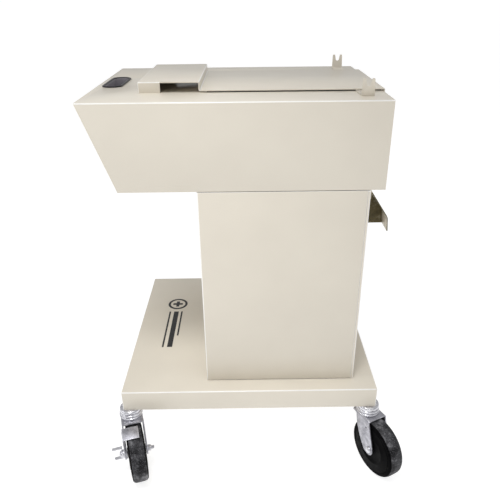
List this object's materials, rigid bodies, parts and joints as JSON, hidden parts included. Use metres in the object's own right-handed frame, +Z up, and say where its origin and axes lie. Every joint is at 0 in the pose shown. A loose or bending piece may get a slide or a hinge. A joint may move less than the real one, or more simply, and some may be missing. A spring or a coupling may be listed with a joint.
{
  "type": "equipment pedestal cart",
  "caption": "Wheeled sheet-steel pedestal for a bench-top medical instrument: base pan on swivel casters, hollow column, console with hand grip, equipment plate and cord hooks.",
  "frame": {"origin": "on the floor, under the middle of the whole footprint, casters included", "axes": "+Z up, -X the front of the cart where the hand grip is, -Y its near side as seen in the picture"},
  "size_m": [0.6065, 0.5819, 0.8113],
  "materials": {
    "base_pan": "semi-gloss cream powder coat",
    "column_wrap": "semi-gloss cream powder coat",
    "column_rear_panel": "semi-gloss cream powder coat",
    "console_wrap": "semi-gloss cream powder coat",
    "console_front_panel": "semi-gloss cream powder coat",
    "console_rear_panel": "semi-gloss cream powder coat",
    "console_floor": "semi-gloss cream powder coat",
    "equipment_plate": "semi-gloss cream powder coat",
    "fork_bracket_near": "semi-gloss cream powder coat",
    "fork_bracket_far": "semi-gloss cream powder coat",
    "cord_hook_near": "semi-gloss cream powder coat",
    "cord_hook_far": "semi-gloss cream powder coat",
    "caster_bar_front": "zinc plated",
    "caster_bar_rear": "zinc plated",
    "panel_screw_low_near": "zinc plated",
    "panel_screw_low_far": "zinc plated",
    "panel_screw_high_near": "zinc plated",
    "panel_screw_high_far": "zinc plated",
    "hand_grip": "satin black",
    "stem_front_near": "zinc plated",
    "stem_nut_front_near": "zinc plated",
    "yoke_front_near": "zinc plated",
    "raceway_front_near": "zinc plated",
    "axle_bolt_front_near": "zinc plated",
    "axle_nut_front_near": "zinc plated",
    "tyre_front_near": "matt black rubber",
    "hub_front_near": "satin black",
    "brake_rocker_front_near": "zinc plated",
    "brake_shoe_front_near": "zinc plated",
    "stem_front_far": "zinc plated",
    "stem_nut_front_far": "zinc plated",
    "yoke_front_far": "zinc plated",
    "raceway_front_far": "zinc plated",
    "axle_bolt_front_far": "zinc plated",
    "axle_nut_front_far": "zinc plated",
    "tyre_front_far": "matt black rubber",
    "hub_front_far": "satin black",
    "brake_rocker_front_far": "zinc plated",
    "brake_shoe_front_far": "zinc plated",
    "stem_rear_near": "zinc plated",
    "stem_nut_rear_near": "zinc plated",
    "yoke_rear_near": "zinc plated",
    "raceway_rear_near": "zinc plated",
    "axle_bolt_rear_near": "zinc plated",
    "axle_nut_rear_near": "zinc plated",
    "tyre_rear_near": "matt black rubber",
    "hub_rear_near": "satin black",
    "stem_rear_far": "zinc plated",
    "stem_nut_rear_far": "zinc plated",
    "yoke_rear_far": "zinc plated",
    "raceway_rear_far": "zinc plated",
    "axle_bolt_rear_far": "zinc plated",
    "axle_nut_rear_far": "zinc plated",
    "tyre_rear_far": "matt black rubber",
    "hub_rear_far": "satin black"
  },
  "bodies": {
    "cart": {"base_pan": "base_pan", "column_wrap": "column_wrap", "column_rear_panel": "column_rear_panel", "console_wrap": "console_wrap", "console_front_panel": "console_front_panel", "console_rear_panel": "console_rear_panel", "console_floor": "console_floor", "equipment_plate": "equipment_plate", "fork_bracket_near": "fork_bracket_near", "fork_bracket_far": "fork_bracket_far", "cord_hook_near": "cord_hook_near", "cord_hook_far": "cord_hook_far", "caster_bar_front": "caster_bar_front", "caster_bar_rear": "caster_bar_rear", "panel_screw_low_near": "panel_screw_low_near", "panel_screw_low_far": "panel_screw_low_far", "panel_screw_high_near": "panel_screw_high_near", "panel_screw_high_far": "panel_screw_high_far", "hand_grip": "hand_grip", "stem_front_near": "stem_front_near", "stem_nut_front_near": "stem_nut_front_near", "stem_front_far": "stem_front_far", "stem_nut_front_far": "stem_nut_front_far", "stem_rear_near": "stem_rear_near", "stem_nut_rear_near": "stem_nut_rear_near", "stem_rear_far": "stem_rear_far", "stem_nut_rear_far": "stem_nut_rear_far"},
    "caster_front_near": {"yoke_front_near": "yoke_front_near", "raceway_front_near": "raceway_front_near", "axle_bolt_front_near": "axle_bolt_front_near", "axle_nut_front_near": "axle_nut_front_near"},
    "wheel_front_near": {"tyre_front_near": "tyre_front_near", "hub_front_near": "hub_front_near"},
    "brake_rocker_front_near": {"brake_rocker_front_near": "brake_rocker_front_near"},
    "brake_shoe_front_near": {"brake_shoe_front_near": "brake_shoe_front_near"},
    "caster_front_far": {"yoke_front_far": "yoke_front_far", "raceway_front_far": "raceway_front_far", "axle_bolt_front_far": "axle_bolt_front_far", "axle_nut_front_far": "axle_nut_front_far"},
    "wheel_front_far": {"tyre_front_far": "tyre_front_far", "hub_front_far": "hub_front_far"},
    "brake_rocker_front_far": {"brake_rocker_front_far": "brake_rocker_front_far"},
    "brake_shoe_front_far": {"brake_shoe_front_far": "brake_shoe_front_far"},
    "caster_rear_near": {"yoke_rear_near": "yoke_rear_near", "raceway_rear_near": "raceway_rear_near", "axle_bolt_rear_near": "axle_bolt_rear_near", "axle_nut_rear_near": "axle_nut_rear_near"},
    "wheel_rear_near": {"tyre_rear_near": "tyre_rear_near", "hub_rear_near": "hub_rear_near"},
    "caster_rear_far": {"yoke_rear_far": "yoke_rear_far", "raceway_rear_far": "raceway_rear_far", "axle_bolt_rear_far": "axle_bolt_rear_far", "axle_nut_rear_far": "axle_nut_rear_far"},
    "wheel_rear_far": {"tyre_rear_far": "tyre_rear_far", "hub_rear_far": "hub_rear_far"}
  },
  "joints": [
    {"name": "swivel_front_near", "type": "hinge", "parent": "cart", "child": "caster_front_near", "pos_m": [-0.2663, -0.1883, 0.14], "axis": [0, 0, 1], "continuous": true},
    {"name": "roll_front_near", "type": "hinge", "parent": "caster_front_near", "child": "wheel_front_near", "pos_m": [-0.25452, -0.22757, 0.0633], "axis": [0.9578, 0.2874, 0], "continuous": true},
    {"name": "brake_front_near", "type": "hinge", "parent": "caster_front_near", "child": "brake_rocker_front_near", "pos_m": [-0.25452, -0.22757, 0.0633], "axis": [0.9578, 0.2874, 0], "range_deg": [0, 35]},
    {"name": "shoe_front_near", "type": "slide", "parent": "caster_front_near", "child": "brake_shoe_front_near", "axis": [-0.0744, 0.2479, -0.9659], "range_m": [0, 0.004]},
    {"name": "swivel_front_far", "type": "hinge", "parent": "cart", "child": "caster_front_far", "pos_m": [-0.2663, 0.2637, 0.14], "axis": [0, 0, 1], "continuous": true},
    {"name": "roll_front_far", "type": "hinge", "parent": "caster_front_far", "child": "wheel_front_far", "pos_m": [-0.25094, 0.22569, 0.0633], "axis": [0.9272, 0.3746, 0], "continuous": true},
    {"name": "brake_front_far", "type": "hinge", "parent": "caster_front_far", "child": "brake_rocker_front_far", "pos_m": [-0.25094, 0.22569, 0.0633], "axis": [0.9272, 0.3746, 0], "range_deg": [0, 35]},
    {"name": "shoe_front_far", "type": "slide", "parent": "caster_front_far", "child": "brake_shoe_front_far", "axis": [-0.097, 0.24, -0.9659], "range_m": [0, 0.004]},
    {"name": "swivel_rear_near", "type": "hinge", "parent": "cart", "child": "caster_rear_near", "pos_m": [0.2427, -0.1883, 0.14], "axis": [0, 0, 1], "continuous": true},
    {"name": "roll_rear_near", "type": "hinge", "parent": "caster_rear_near", "child": "wheel_rear_near", "pos_m": [0.26176, -0.2246, 0.0633], "axis": [0.8854, 0.4648, 0], "continuous": true},
    {"name": "swivel_rear_far", "type": "hinge", "parent": "cart", "child": "caster_rear_far", "pos_m": [0.2427, 0.2637, 0.14], "axis": [0, 0, 1], "continuous": true},
    {"name": "roll_rear_far", "type": "hinge", "parent": "caster_rear_far", "child": "wheel_rear_far", "pos_m": [0.24911, 0.2232, 0.0633], "axis": [0.9877, 0.1564, 0], "continuous": true}
  ],
  "couplings": [
    {"joint": "brake_front_near", "follows": "shoe_front_near", "rad_per_m": 152.7},
    {"joint": "brake_front_far", "follows": "shoe_front_far", "rad_per_m": 152.7}
  ]
}
